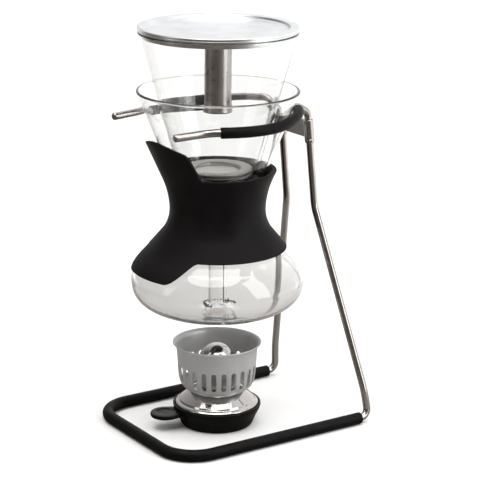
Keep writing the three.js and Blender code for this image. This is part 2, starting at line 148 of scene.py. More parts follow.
def make_world():
    """A studio with a white sweep behind the object and a dark room on the camera's side."""
    world = bpy.data.worlds.new("studio")
    bpy.context.scene.world = world
    world.use_nodes = True
    tree = world.node_tree
    room = tree.nodes["Background"]
    direction = tree.nodes.new("ShaderNodeTexCoord").outputs["Generated"]
    dark, dim = (0.10, 0.092, 0.088), (0.16, 0.15, 0.145)
    stops = [(-0.6, dark), (0.15, dim), (0.55, (0.6, 0.6, 0.6)), (0.8, (1, 1, 1))]
    color = ramp_along(tree, direction, heading(sweep_azimuth, 35), stops)
    tree.links.new(color, room.inputs["Color"])
    plain = tree.nodes.new("ShaderNodeBackground")
    plain.inputs["Color"].default_value = (0.95, 0.95, 0.95, 1)
    split_by_ray(tree, "Is Camera Ray", room, plain, "World Output")


def make_sun():
    """A wide soft light from above, which lights the floor evenly."""
    light = bpy.data.lights.new("overhead", "SUN")
    light.energy = 2.3
    light.angle = math.radians(55)
    light.color = (1.0, 0.985, 0.965)
    lamp = bpy.data.objects.new("overhead", light)
    lamp.rotation_euler = Vector(heading(sun_azimuth, 78)).to_track_quat("Z", "Y").to_euler()
    bpy.context.scene.collection.objects.link(lamp)


def make_floor():
    """A pale floor. In reflections it shows painted shade: it is darker on the camera's side, as if it ended
    there.
    """
    size = 14
    mesh = bpy.data.meshes.new("floor")
    corners = [(-size, -size, 0), (size, -size, 0), (size, size, 0), (-size, size, 0)]
    mesh.from_pydata(corners, [], [(0, 1, 2, 3)])
    floor = bpy.data.objects.new("floor", mesh)
    floor.location.z = -0.0002
    bpy.context.scene.collection.objects.link(floor)
    material = bpy.data.materials.new("floor")
    material.use_nodes = True
    tree = material.node_tree
    pale = tree.nodes["Principled BSDF"]
    pale.inputs["Base Color"].default_value = (0.94, 0.94, 0.94, 1)
    pale.inputs["Roughness"].default_value = 1.0
    pale.inputs["Specular IOR Level"].default_value = 0.0
    floor_shade_in_reflections = tree.nodes.new("ShaderNodeBsdfDiffuse")
    where = tree.nodes.new("ShaderNodeTexCoord").outputs["Object"]
    # Painted shade: the floor's colour for glossy rays only, dark on the camera's side and pale towards the
    # white sweep.
    stops = [(-0.25, (0.09, 0.078, 0.07)), (0.15, (0.3, 0.28, 0.265)), (0.7, (0.95, 0.95, 0.95))]
    color = ramp_along(tree, where, heading(sweep_azimuth), stops)
    tree.links.new(color, floor_shade_in_reflections.inputs["Color"])
    split_by_ray(tree, "Is Glossy Ray", pale, floor_shade_in_reflections, "Material Output")
    mesh.materials.append(material)


camera_azimuth = 57.13
sweep_azimuth = camera_azimuth + 145
sun_azimuth = camera_azimuth - 15
make_camera()
make_world()
make_sun()
make_floor()
softbox("side_right", camera_azimuth + 62, 24, 1.5, (0.6, 1.7), 3.0)
softbox("side_left", camera_azimuth - 70, 26, 1.5, (0.3, 1.5), 1.3)
bpy.context.scene.view_settings.view_transform = "Standard"


# ---- Materials ---------------------------------------------------------------------------------


class Finish:
    """A Principled material, with short calls for the procedural detail that is laid over it."""

    def __init__(self, name, color, roughness, metallic=0.0, **sockets):
        self.material = bpy.data.materials.new(name)
        self.material.use_nodes = True
        self.tree = self.material.node_tree
        self.shader = self.tree.nodes["Principled BSDF"]
        self.color = color
        self.set("Base Color", (*color, 1))
        self.set("Roughness", roughness)
        self.set("Metallic", metallic)
        for socket, value in sockets.items():
            self.set(socket.replace("_", " "), value)

    def set(self, socket, value):
        self.shader.inputs[socket].default_value = value

    def node(self, kind, **inputs):
        made = self.tree.nodes.new(kind)
        for socket, value in inputs.items():
            self.feed(value, made.inputs[socket])
        return made

    def feed(self, value, socket):
        """Links an output to a socket, or sets the socket to a plain value."""
        if isinstance(value, bpy.types.NodeSocket):
            self.tree.links.new(value, socket)
        else:
            socket.default_value = value

    def place(self, stretch=(1, 1, 1)):
        """The point on the piece in metres, with each axis stretched."""
        where = self.node("ShaderNodeTexCoord").outputs["Object"]
        mapping = self.node("ShaderNodeMapping", Vector=where)
        mapping.inputs["Scale"].default_value = stretch
        return mapping.outputs["Vector"]

    def rings(self):
        """A vector of the distance from the z axis and the height, for marks left by turning."""
        where = self.node("ShaderNodeTexCoord").outputs["Object"]
        split = self.node("ShaderNodeSeparateXYZ", Vector=where)
        flat = self.node("ShaderNodeCombineXYZ", X=split.outputs["X"], Y=split.outputs["Y"])
        length = self.tree.nodes.new("ShaderNodeVectorMath")
        length.operation = "LENGTH"
        self.feed(flat.outputs["Vector"], length.inputs[0])
        ring = self.node("ShaderNodeCombineXYZ", X=length.outputs["Value"], Z=split.outputs["Z"])
        return ring.outputs["Vector"]

    def noise(self, where, scale, detail=3.0):
        made = self.node("ShaderNodeTexNoise", Vector=where, Scale=scale, Detail=detail)
        return made.outputs["Fac"]

    def spread(self, value, low, high, from_low=0.3, from_high=0.7):
        made = self.tree.nodes.new("ShaderNodeMapRange")
        sockets = ("Value", "From Min", "From Max", "To Min", "To Max")
        for socket, amount in zip(sockets, (value, from_low, from_high, low, high)):
            self.feed(amount, made.inputs[socket])
        return made.outputs["Result"]

    def vary_color(self, value, darker, lighter):
        """Base colour between two multiples of the plain one."""
        ramp = self.node("ShaderNodeValToRGB", Fac=value)
        for stop, place, share in zip(ramp.color_ramp.elements, (0.3, 0.7), (darker, lighter)):
            stop.position = place
            stop.color = (*(min(1.0, c * share) for c in self.color), 1)
        self.feed(ramp.outputs["Color"], self.shader.inputs["Base Color"])

    def vary_roughness(self, value, low, high):
        self.feed(self.spread(value, low, high), self.shader.inputs["Roughness"])

    def bump(self, height, strength, depth_mm):
        made = self.node("ShaderNodeBump", Height=height, Strength=strength)
        made.inputs["Distance"].default_value = depth_mm * MM
        if self.shader.inputs["Normal"].is_linked:
            self.feed(self.shader.inputs["Normal"].links[0].from_socket, made.inputs["Normal"])
        self.feed(made.outputs["Normal"], self.shader.inputs["Normal"])


def rod_steel():
    """Polished stainless rod, with faint drawing lines and handling marks."""
    finish = Finish("rod_steel", (0.56, 0.53, 0.505), 0.2, metallic=1.0)
    marks = finish.noise(finish.place(), 60)
    finish.vary_color(marks, 0.9, 1.06)
    finish.vary_roughness(finish.noise(finish.place(), 240), 0.14, 0.27)
    finish.bump(finish.noise(finish.place((1, 1, 0.04)), 2600), 0.18, 0.05)
    return finish.material


def turned_steel(name, color, low, high, metallic=1.0):
    """Steel with the fine rings that a lathe or a polishing wheel leaves."""
    finish = Finish(name, color, (low + high) / 2, metallic)
    rings = finish.noise(finish.rings(), 1400, detail=2.0)
    smears = finish.noise(finish.place(), 45)
    finish.vary_color(smears, 0.92, 1.05)
    finish.vary_roughness(smears, low, high)
    finish.bump(rings, 0.16, 0.04)
    return finish.material


def drawn_steel():
    """Satin tube steel, with grain along the z axis and dull patches."""
    finish = Finish("drawn_steel", (0.47, 0.445, 0.43), 0.3, 1.0, Anisotropic=0.4)
    grain = finish.noise(finish.place((1, 1, 0.03)), 1800)
    patches = finish.noise(finish.place(), 70)
    finish.vary_color(patches, 0.88, 1.08)
    finish.vary_roughness(patches, 0.24, 0.36)
    finish.bump(grain, 0.25, 0.04)
    return finish.material


def blasted_aluminium():
    """Fine blasted and anodised aluminium."""
    finish = Finish("blasted_aluminium", (0.53, 0.53, 0.53), 0.42, metallic=0.45)
    grains = finish.noise(finish.place(), 3800, detail=2.0)
    patches = finish.noise(finish.place(), 55)
    finish.vary_color(patches, 0.93, 1.05)
    finish.vary_roughness(patches, 0.36, 0.5)
    finish.bump(grains, 0.35, 0.05)
    return finish.material


def rubber(name, color, low, high, specular):
    """Matte moulded rubber: fine pores, dull and slightly polished patches, a trace of dust."""
    finish = Finish(name, color, (low + high) / 2)
    finish.set("Specular IOR Level", specular)
    patches = finish.noise(finish.place(), 90)
    finish.vary_color(finish.noise(finish.place(), 420), 0.75, 1.5)
    finish.vary_roughness(patches, low, high)
    finish.bump(finish.noise(finish.place(), 2600, detail=2.0), 0.25, 0.06)
    return finish.material


def silicone():
    """Soft black silicone, with the faint bloom that handling leaves."""
    finish = Finish("silicone", (0.0046, 0.0036, 0.0038), 0.55)
    finish.set("Specular IOR Level", 0.12)
    bloom = finish.noise(finish.place(), 38)
    finish.vary_color(bloom, 0.8, 1.6)
    finish.vary_roughness(bloom, 0.46, 0.62)
    finish.bump(finish.noise(finish.place(), 3200, detail=2.0), 0.2, 0.05)
    return finish.material


def black_plastic():
    """Moulded black plastic with a fine texture and light scuffs."""
    finish = Finish("black_plastic", (0.004, 0.004, 0.0042), 0.35)
    finish.set("Specular IOR Level", 0.16)
    finish.vary_color(finish.noise(finish.place(), 160), 0.8, 1.5)
    finish.vary_roughness(finish.noise(finish.place(), 120), 0.28, 0.42)
    finish.bump(finish.noise(finish.place(), 3000, detail=2.0), 0.15, 0.05)
    return finish.material


def clear_glass():
    """Thin clear glass, drawn and blown, so it is a little wavy. It lets lamp light through."""
    finish = Finish("clear_glass", (0.992, 0.996, 0.994), 0.0, IOR=1.47)
    finish.set("Transmission Weight", 1.0)
    finish.bump(finish.noise(finish.place((1, 1, 0.5)), 26, detail=1.0), 0.02, 1.0)
    clear = finish.tree.nodes.new("ShaderNodeBsdfTransparent")
    clear.inputs["Color"].default_value = (0.985, 0.988, 0.988, 1)
    split_by_ray(finish.tree, "Is Shadow Ray", finish.shader, clear, "Material Output")
    return finish.material


def filter_cloth():
    """Off-white filter disc with a felted, fibrous face."""
    finish = Finish("filter_cloth", (0.93, 0.91, 0.87), 0.95)
    fibres = finish.noise(finish.place((1, 0.35, 1)), 1700, detail=4.0)
    finish.vary_color(finish.noise(finish.place(), 190), 0.93, 1.03)
    finish.vary_roughness(fibres, 0.85, 1.0)
    finish.bump(fibres, 0.6, 0.15)
    return finish.material


def braided_cotton():
    finish = Finish("braided_cotton", (0.78, 0.72, 0.60), 0.95)
    fibres = finish.noise(finish.place((1, 1, 0.3)), 1500, detail=4.0)
    finish.vary_color(finish.noise(finish.place(), 320), 0.85, 1.08)
    finish.vary_roughness(fibres, 0.85, 1.0)
    finish.bump(fibres, 0.7, 0.2)
    return finish.material


rod_finish = rod_steel()
tube_finish = drawn_steel()
satin_finish = turned_steel("satin_steel", (0.50, 0.48, 0.46), 0.26, 0.4)
plate_finish = turned_steel("plate_steel", (0.46, 0.45, 0.44), 0.38, 0.5)
polished_finish = turned_steel("polished_steel", (0.62, 0.60, 0.585), 0.06, 0.16)
lid_finish = turned_steel("lid_steel", (0.87, 0.88, 0.89), 0.27, 0.33)
guard_finish = blasted_aluminium()
sleeve_finish = rubber("sleeve_rubber", (0.0032, 0.0032, 0.0032), 0.42, 0.6, 0.12)
gasket_finish = rubber("gasket_rubber", (0.012, 0.012, 0.013), 0.6, 0.8, 0.2)
band_finish = silicone()
plastic_finish = black_plastic()
glass_finish = clear_glass()
cloth_finish = filter_cloth()
cotton_finish = braided_cotton()


# ---- Shapes ------------------------------------------------------------------------------------


def unit(vector):
    return vector / np.linalg.norm(vector)


def bend(points, radii, step=5):
    """A polyline whose inner corners are arcs. Step is an arc's angle between two points."""
    points = [np.array(point, float) for point in points]
    line = [points[0]]
    for before, corner, after, radius in zip(points, points[1:], points[2:], radii):
        into, out = unit(corner - before), unit(after - corner)
        turn = math.acos(np.clip(into @ out, -1, 1))
        if radius == 0 or turn < 1e-3:
            line.append(corner)
            continue
        room = 0.49 * min(np.linalg.norm(corner - before), np.linalg.norm(after - corner))
        radius = min(radius, room / math.tan(turn / 2))
        centre = corner + unit(out - into) * radius / math.cos(turn / 2)
        start = corner - into * radius * math.tan(turn / 2) - centre
        count = max(2, math.ceil(math.degrees(turn) / step))
        for k in range(count + 1):
            angle = turn * k / count
            line.append(centre + start * math.cos(angle) + into * radius * math.sin(angle))
    line.append(points[-1])
    return line


def curve(points, pieces=6):
    """A smooth line through points, with the ends' directions kept."""
    points = [np.array(point, float) for point in points]
    line = []
    padded = [2 * points[0] - points[1], *points, 2 * points[-1] - points[-2]]
    for a, b, c, d in zip(padded, padded[1:], padded[2:], padded[3:]):
        for k in range(pieces):
            t = k / pieces
            line.append(0.5 * (2 * b + (c - a) * t + (2 * a - 5 * b + 4 * c - d) * t**2
                               + (3 * b - a - 3 * c + d) * t**3))
    line.append(points[-1])
    return line


def section(corners):
    """An outline of (radius, height, rounding) corners, which closes on itself or on the axis."""
    points = [np.array(corner[:2], float) for corner in corners]
    rounding = [corner[2] for corner in corners]
    if corners[0][0] == 0 and corners[-1][0] == 0:
        return bend(points, rounding[1:-1], 15)
    middle = (points[0] + points[-1]) / 2
    return bend([middle, *points, middle], rounding, 15)[:-1]


def inset(outline, distance):
    """Moves an open outline sideways, to its left."""
    line = np.array(outline)
    along = np.gradient(line, axis=0)
    along /= np.linalg.norm(along, axis=1)[:, None]
    moved = line + distance * np.column_stack([-along[:, 1], along[:, 0]])
    return [np.array([max(r, 0.0), z]) for r, z in moved]


def stitch(rings, closed):
    """Faces between rings of points. A ring of one point is a pole."""
    points = [point for ring in rings for point in ring]
    starts = np.cumsum([0, *(len(ring) for ring in rings)])
    pairs = [(k, k + 1) for k in range(len(rings) - 1)]
    if closed:
        pairs.append((len(rings) - 1, 0))
    faces = []
    for low, high in pairs:
        a, b = starts[low], starts[high]
        n, m = len(rings[low]), len(rings[high])
        for k in range(max(n, m)):
            after = (k + 1) % max(n, m)
            if n == 1:
                faces.append((a, b + after, b + k))
            elif m == 1:
                faces.append((a + k, a + after, b))
            else:
                faces.append((a + k, a + after, b + after, b + k))
    return points, faces


def lathe(outline, segments=128, centre=(0, 0)):
    """Turns an outline round the z axis. It closes on the axis or on itself."""
    angles = np.arange(segments) * 2 * math.pi / segments
    rings = []
    for r, z in outline:
        if r < 1e-6:
            rings.append([(centre[0], centre[1], z)])
        else:
            rings.append([(centre[0] + r * math.cos(a), centre[1] + r * math.sin(a), z) for a in angles])
    closed = outline[0][0] > 1e-6
    return stitch(rings, closed)


def evenly(path, step):
    """Points at even steps along a polyline, and the distance to each."""
    line = np.array(path, float)
    reach = np.concatenate([[0], np.cumsum(np.linalg.norm(np.diff(line, axis=0), axis=1))])
    count = max(2, math.ceil(reach[-1] / step))
    along = np.linspace(0, reach[-1], count + 1)
    return np.column_stack([np.interp(along, reach, line[:, k]) for k in range(3)]), along


def sweep(path, profile, sides=32, step=1.5):
    """Rings round a path. The profile gives (distance along it, radius), in order."""
    line, along = evenly(path, step)
    tangents = np.gradient(line, axis=0)
    tangents /= np.linalg.norm(tangents, axis=1)[:, None]
    start = np.cross(tangents[0], [0, 0, 1] if abs(tangents[0][2]) < 0.9 else [1, 0, 0])
    sideways = [unit(start)]
    for tangent in tangents[1:]:
        sideways.append(unit(sideways[-1] - tangent * (sideways[-1] @ tangent)))
    sideways = np.array(sideways)
    angles = np.arange(sides) * 2 * math.pi / sides

    def at(distance, values):
        return np.array([np.interp(distance, along, values[:, k]) for k in range(3)])

    rings = []
    for distance, radius in profile:
        middle = at(distance, line)
        tangent = unit(at(distance, tangents))
        across = at(distance, sideways)
        across = unit(across - tangent * (across @ tangent))
        other = np.cross(tangent, across)
        if radius < 1e-6:
            rings.append([middle])
        else:
            rings.append([middle + radius * (math.cos(a) * across + math.sin(a) * other) for a in angles])
    return stitch(rings, closed=profile[0][1] > 1e-6)


def path_length(path):
    return np.linalg.norm(np.diff(np.array(path), axis=0), axis=1).sum()


def rod(path, radius, rounding=0.5, sides=32, step=2.0, far_rounding=None):
    """A solid rod along a path, with rounded ends."""
    length = path_length(path)
    far = rounding if far_rounding is None else far_rounding
    corners = [(0, 0), (0, radius), (length, radius), (length, 0)]
    ends = bend(corners, [rounding, far], 12)
    middle = [(s, radius) for s in np.arange(rounding + step, length - far - step / 2, step)]
    half = len([p for p in ends if p[0] < length / 2])
    return sweep(path, [*map(tuple, ends[:half]), *middle, *map(tuple, ends[half:])], sides)


def pipe(path, radius, bore, rounding=0.8, sides=48, step=2.0):
    """A tube along a path, open at both ends, with rounded rims."""
    length = path_length(path)
    stations = np.arange(rounding + step, length - rounding - step / 2, step)
    near = bend([(step, bore), (0, bore), (0, radius), (step, radius)], [0.2, rounding], 15)
    far = [(length - s, r) for s, r in reversed(near)]
    outer = [(s, radius) for s in stations if s > step]
    inner = [(s, bore) for s in reversed(stations) if s > step]
    return sweep(path, [*map(tuple, near), *outer, *far, *inner], sides)


def mirrored(points):
    return [np.array([-x, y, z]) for x, y, z in points]


def joined(*parts):
    """One mesh from several (points, faces) parts."""
    points, faces = [], []
    for more_points, more_faces in parts:
        faces += [tuple(i + len(points) for i in face) for face in more_faces]
        points += list(more_points)
    return points, faces


def place_mesh(name, shape):
    """An object in the scene, from points in millimetres and faces."""
    points, faces = shape
    mesh = bpy.data.meshes.new(name)
    mesh.from_pydata([tuple(float(c) * MM for c in point) for point in points], [], faces)
    face_outwards(mesh)
    placed = bpy.data.objects.new(name, mesh)
    bpy.context.scene.collection.objects.link(placed)
    return placed


def add(name, shape, finish, body, nodes=(), crease=32):
    """Makes a piece: its mesh, its finish, its body, if it rides on one, and the CAD nodes it stands for."""
    piece = place_mesh(name, shape)
    mesh = piece.data
    mesh.shade_smooth()
    mesh.set_sharp_from_angle(angle=math.radians(crease))
    mesh.materials.append(finish)
    even = piece.modifiers.new("even_shading", "WEIGHTED_NORMAL")
    even.keep_sharp = True
    if body:
        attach(piece, body)
    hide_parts(*nodes)
    return piece


def face_outwards(mesh):
    work = bmesh.new()
    work.from_mesh(mesh)
    bmesh.ops.remove_doubles(work, verts=work.verts, dist=1e-7)
    bmesh.ops.recalc_face_normals(work, faces=work.faces)
    if work.calc_volume(signed=True) < 0:
        bmesh.ops.reverse_faces(work, faces=work.faces)
    work.to_mesh(mesh)
    work.free()


def smooth(t):
    t = np.clip(t, 0, 1)
    return t * t * (3 - 2 * t)


# ---- Stand -------------------------------------------------------------------------------------

gap = 0.3
rod_radius = 3.5
base_sleeve_radius = 5.5
arm_sleeve_radius = 5
collar_radius = 4.75
sleeve_bore = rod_radius + 0.15
front_corner = np.array([78.8, -87.9, base_sleeve_radius])
foot_corner = np.array([78.4, 121.5, base_sleeve_radius])
ankle = np.array([75, 118.6, 31])
knee = np.array([22.8, 93.9, 204])
leg_top = np.array([21.9, 85.6, 288.5])
collar_bottom_z = 266.5
leg_rod_end_z = 276.8
arm_rod_start_z = 277.6
front_corner_radius = 33
base_sleeve_end_y = 112
cone_ref_z = 271
cone_ref_radius = 55.4
cone_slope = 0.396


def on_leg(z):
    """The point at a height on the straight top of a leg."""
    return knee + (leg_top - knee) * (z - knee[2]) / (leg_top[2] - knee[2])


def cone_radius(z):
    return cone_ref_radius + cone_slope * (z - cone_ref_z)


def make_base():
    half = [on_leg(leg_rod_end_z), knee, ankle, foot_corner, front_corner]
    radii = [40, 90, 8, front_corner_radius]
    path = bend([*half, *reversed(mirrored(half))], [*radii, *reversed(radii)])
    add("base_rod", rod(path, rod_radius), rod_finish, "stand", ["stand_rod"])
    share = (foot_corner[1] - base_sleeve_end_y) / (foot_corner[1] - front_corner[1])
    end = foot_corner + (front_corner - foot_corner) * share
    run = [end, front_corner]
    path = bend([*run, *reversed(mirrored(run))], [front_corner_radius] * 2)
    sleeve = pipe(path, base_sleeve_radius, sleeve_bore, 0.9)
    add("foot_sleeve", sleeve, sleeve_finish, "stand", ["base_sleeve"])


def on_ring(degrees):
    """A point of the fork's ring, which clasps the carafe's cone and rises a little to the rear."""
    z = 297.3 + 5.1 * smooth((degrees - 8) / 60)
    radius = cone_radius(z) + (arm_sleeve_radius + gap) * math.hypot(1, cone_slope)
    angle = math.radians(degrees)
    return np.array([radius * math.cos(angle), radius * math.sin(angle), z])


def ring(start, end):
    count = math.ceil(abs(end - start) / 2)
    return [on_ring(start + (end - start) * k / count) for k in range(count + 1)]


def make_arm(side, mirror, sleeve_rear_angle):
    over_collar = np.array([21.6, 84.9, 296])
    turn_out = np.array([22.8, 72.4, 302.8])
    arm_bend = np.array([55.8, -51, 297])
    arm_tip = np.array([53.3, -76.5, 296])
    around = ring(66, -34)
    tip = arm_tip + unit(arm_tip - arm_bend) * (rod_radius - 0.1)
    rear = bend([on_leg(arm_rod_start_z), over_collar, turn_out, around[0]], [9.5, 7.5])
    front = bend([around[-1], arm_bend, tip], [40])
    path = mirror([*rear, *around[1:-1], *front])
    arm = rod(path, rod_radius, far_rounding=2.6)
    add(f"fork_rod_{side}", arm, rod_finish, "stand", [f"arm_rod_{side}"])
    sleeve = pipe(mirror(ring(sleeve_rear_angle, -31)), arm_sleeve_radius, sleeve_bore, 0.7)
    add(f"fork_sleeve_{side}", sleeve, sleeve_finish, "stand", [f"arm_sleeve_{side}"])


def make_collar(side, mirror):
    """A crimped collar: rounded rims, and a groove near its lower end."""
    path = mirror([on_leg(collar_bottom_z), on_leg(leg_top[2])])
    length = path_length(path)
    bore = rod_radius + 0.1
    groove, groove_depth = 3.6, 0.45
    outline = bend(
        [
            (length / 2, bore), (0, bore), (0, collar_radius - 0.4), (0.9, collar_radius),
            (groove - 0.5, collar_radius), (groove, collar_radius - groove_depth),
            (groove + 0.5, collar_radius), (length - 0.1, collar_radius), (length, bore),
        ],
        [0.1, 0.4, 0.4, 0.2, 0.2, 0.2, 1.0],
        15,
    )
    collar = sweep(path, [tuple(point) for point in outline], 48, 1.0)
    add(f"leg_collar_{side}", collar, rod_finish, "stand", [f"collar_{side}"])


def make_bracket():
    """Sheet between the collars, in the legs' plane, with its lower corners cut off."""
    half, height, cut, thickness = leg_top[0] - collar_radius - 0.15, 17, 3, 2
    outline = [(-half, cut), (-half + cut, 0), (half - cut, 0), (half, cut), (half, height), (-half, height)]
    up = unit(np.array([0, leg_top[1] - knee[1], leg_top[2] - knee[2]]))
    out = np.cross([1, 0, 0], up)
    foot = on_leg(collar_bottom_z + 4) * [0, 1, 1]
    rings = []
    for depth, shrink in [(-1, 0.35), (-0.65, 0), (0.65, 0), (1, 0.35)]:
        scale = 1 - shrink / half
        middle = height / 2
        rings.append([
            foot + np.array([x * scale, 0, 0]) + up * (middle + (h - middle) * scale)
            + out * depth * thickness / 2
            for x, h in outline
        ])
    points, faces = stitch(rings, closed=False)
    count = len(outline)
    faces += [tuple(range(count))[::-1], tuple(range(3 * count, 4 * count))]
    add("bracket", (points, faces), plate_finish, "stand", ["bracket_plate"])


make_base()
make_arm("right", list, 62)
make_arm("left", mirrored, 34)
for side, mirror in (("right", list), ("left", mirrored)):
    make_collar(side, mirror)
make_bracket()


# ---- Carafe and grip band ----------------------------------------------------------------------

glass_wall = 2
bowl_radius = 80.4
bowl_widest_z = 144.5
bowl_bottom_z = node_box("carafe_glass")[0][2]
carafe_rim_z = node_box("carafe_glass")[1][2]
carafe_rim_radius = 75


def bead(centre, radius, start, end):
    """Points round a fire-polished rim, by angle in degrees."""
    angles = np.radians(np.linspace(start, end, 13))
    return [np.array([centre[0] + radius * math.cos(a), centre[1] + radius * math.sin(a)]) for a in angles]


def bowl_outline():
    """A flattened superellipse, with a shallow punt pushed up in the middle."""
    flatness, roundness = 2.7, 3.14
    punt_radius, punt_height = 25, 4
    line = []
    for turn in np.radians(np.arange(0, 91, 3)):
        r = bowl_radius * math.sin(turn) ** (2 / roundness)
        z = bowl_widest_z - (bowl_widest_z - bowl_bottom_z) * max(math.cos(turn), 0) ** (2 / flatness)
        line.append(np.array([r, z]))
    dense = [(r, np.interp(r, *np.array(line).T)) for r in np.linspace(0, line[3][0], 24)]
    punted = [np.array([r, z + punt_height * (1 - smooth(r / punt_radius))]) for r, z in dense]
    return [*punted, *line[4:]]


def carafe_outline():
    """The carafe's outer face, from the punt up to its rim."""
    shoulder = [
        (78.6, 150), (74.2, 157.6), (67.6, 165.3), (60.6, 173), (51.8, 183.5), (44.4, 196), (40, 211),
        (41.2, 225), (43.2, 236), (47.2, 249), (51.2, 260), (cone_ref_radius, cone_ref_z),
        (cone_radius(290), 290), (cone_radius(305), 305),
    ]
    bowl = bowl_outline()
    upper = curve([bowl[-3], *bowl[-1:], *shoulder], 5)
    return [*bowl[:-3], *upper]


def make_carafe():
    outside = carafe_outline()
    inside = inset(outside, glass_wall)
    rim_bead = 1.45
    centre = (carafe_rim_radius - rim_bead, carafe_rim_z - rim_bead)
    rim = bead(centre, rim_bead, -35, 190)
    shell = lathe([*outside, *rim, *reversed(inside[1:]), np.array([0, inside[0][1]])], 160)
    add("carafe", shell, glass_finish, "carafe", ["carafe_glass"], crease=60)


band_wall = 4.4


def band_top_z(angle):
    """Height of the band's top edge, by angle in degrees from the front."""
    away = abs(angle)
    if away <= 29:
        return 281 - 7 * (away / 29) ** 1.6
    return 274 - 26 * smooth((away - 29) / 14)


def band_bottom_z(angle):
    return 155.5 + 18.5 * smooth((abs(angle) - 20) / 22)


def band_outline():
    points = [
        (85, 150), (79.8, 159.5), (72.4, 167.5), (65.3, 174), (54.9, 186), (49.7, 192.5), (45.9, 201),
        (44.5, 211), (45.9, 223), (49.3, 235.5), (56.4, 251.6), (62.7, 265.7), (70.2, 282),
    ]
    return np.array(curve(points, 8))


def band_section(low, high, outer, glass):
    """The band's section at one angle, with rounded edges, as (radius, height) points."""
    edge, rows = 1.5, 36
    quarter = np.radians(np.linspace(0, 90, 6))
    rise = [(high - edge + edge * math.sin(a), edge * (1 - math.cos(a))) for a in quarter]
    top = [*rise, *((z, band_wall - depth) for z, depth in reversed(rise))]
    bottom = [(low + high - z, depth) for z, depth in reversed(top)]
    side = np.linspace(low + edge, high - edge, rows + 2)[1:-1]
    loop = [*((z, 0) for z in side), *top, *((z, band_wall) for z in reversed(side)), *bottom]
    points = []
    for z, depth in loop:
        face = np.interp(z, outer[:, 1], outer[:, 0])
        wall = min(band_wall, face - np.interp(z, glass[:, 1], glass[:, 0]) - 0.5)
        points.append((face - depth / band_wall * wall, z))
    return points


def make_band():
    outer = band_outline()
    glass = np.array([p for p in carafe_outline() if p[1] >= bowl_widest_z])
    segments = 240
    columns = []
    for k in range(segments):
        degrees = -180 + 360 * k / segments
        turn = math.radians(degrees)
        loop = band_section(band_bottom_z(degrees), band_top_z(degrees), outer, glass)
        columns.append([(r * math.sin(turn), -r * math.cos(turn), z) for r, z in loop])
    add("grip", stitch(columns, closed=True), band_finish, "carafe", ["grip_band"], crease=50)


make_carafe()
make_band()


# ---- Funnel, gasket and filter -----------------------------------------------------------------

funnel_low, funnel_high = node_box("funnel_glass")
funnel_rim_z = funnel_high[2]
funnel_rim_radius = 73.3
funnel_slope = 0.2806
stem_radius = 8.7
stem_wall = 1.7
stem_end_z = funnel_low[2]


def funnel_radius(z):
    return funnel_rim_radius - funnel_slope * (funnel_rim_z - z)


def make_funnel():
    shoulder = [
        (stem_radius, 226), (stem_radius, 229), (9.7, 232.2), (12.4, 234), (20, 235.7), (28, 238.4),
        (33.2, 242.2), (36.2, 247), (funnel_radius(255), 255), (funnel_radius(262), 262),
    ]
    outside = [(stem_radius, stem_end_z + 0.9), *curve(shoulder, 6), (funnel_radius(375), 375)]
    thin, thick = inset(outside, stem_wall), inset(outside, glass_wall)
    inside = [near if point[1] < 233 else far for point, near, far in zip(outside, thin, thick)]
    rim_bead, stem_bead = 1.1, stem_wall / 2
    rim = bead((funnel_rim_radius - rim_bead, funnel_rim_z - rim_bead), rim_bead, -25, 190)
    stem = bead((stem_radius - stem_bead, stem_end_z + stem_bead), stem_bead, 180, 360)
    shell = lathe([*stem, *outside[1:], *rim, *reversed(inside[1:])], 160)
    add("funnel", shell, glass_finish, "funnel", ["funnel_glass"], crease=60)


def make_gasket():
    """Ribbed rubber bung between the funnel's bottom and the carafe's waist."""
    bore = stem_radius + 0.15
    outline = section([
        (bore, 207, 0.6), (33.5, 207, 1.5), (36.4, 210, 1.5), (37.2, 213, 1), (36.2, 215.5, 1),
        (37.2, 218, 1), (36.4, 221, 1), (37.4, 224, 1), (38.6, 236, 1.2), (38, 239.6, 1.2),
        (33.6, 241.4, 0.8), (28.4, 237.7, 2), (20, 235, 2), (12, 233.3, 1), (10.4, 231.9, 1),
        (bore, 229.4, 0.4),
    ])
    add("neck_seal", lathe(outline, 128), gasket_finish, "funnel", ["neck_gasket"])


def make_filter():
    ring_outline = section([
        (20.8, 246.6, 0.3), (30.4, 246.6, 0.5), (31.7, 247.4, 0.6), (31.7, 249.6, 0.8), (30.6, 250.6, 0.8),
        (22, 249.9, 0.7), (20.8, 249, 0.7),
    ])
    add("filter_clamp", lathe(ring_outline), satin_finish, "filter", ["filter_ring"])
    disc = section([
        (0, 244.9, 0), (27.6, 244.9, 0.3), (27.9, 245.5, 0.3), (27.4, 246.3, 0.4), (20, 246.35, 8),
        (0, 246.45, 0),
    ])
    add("filter_disc", lathe(disc), cloth_finish, "filter", ["filter_paper"])


def make_filter_plate():
    """Pressed disc with a ring of holes, cut through a dished rim."""
    outline = section([
        (0, 242.8, 0), (24, 242.8, 1), (26.5, 243.8, 0.4), (26.5, 244.5, 0.3), (0, 244.5, 0),
    ])
    plate = add("filter_seat", lathe(outline, 96), satin_finish, "filter", ["filter_plate"])
    holes = []
    for count, ring_radius in ((8, 15), (16, 21)):
        for k in range(count):
            angle = 2 * math.pi * k / count
            centre = (ring_radius * math.cos(angle), ring_radius * math.sin(angle))
            holes.append(lathe([(0, 240), (1.6, 240), (1.6, 247), (0, 247)], 20, centre))
    cut_away(plate, joined(*holes))


def cut_away(piece, shape):
    """Cuts a closed mesh out of a piece, and leaves no modifier behind."""
    cutter = place_mesh("cutter", shape)
    cut = piece.modifiers.new("cut", "BOOLEAN")
    cut.object = cutter
    cut.solver = "EXACT"
    piece.modifiers.move(1, 0)
    bpy.context.view_layer.update()
    evaluated = piece.evaluated_get(bpy.context.evaluated_depsgraph_get())
    result = bpy.data.meshes.new_from_object(evaluated)
    piece.modifiers.clear()
    piece.data = result
    bpy.data.objects.remove(cutter)


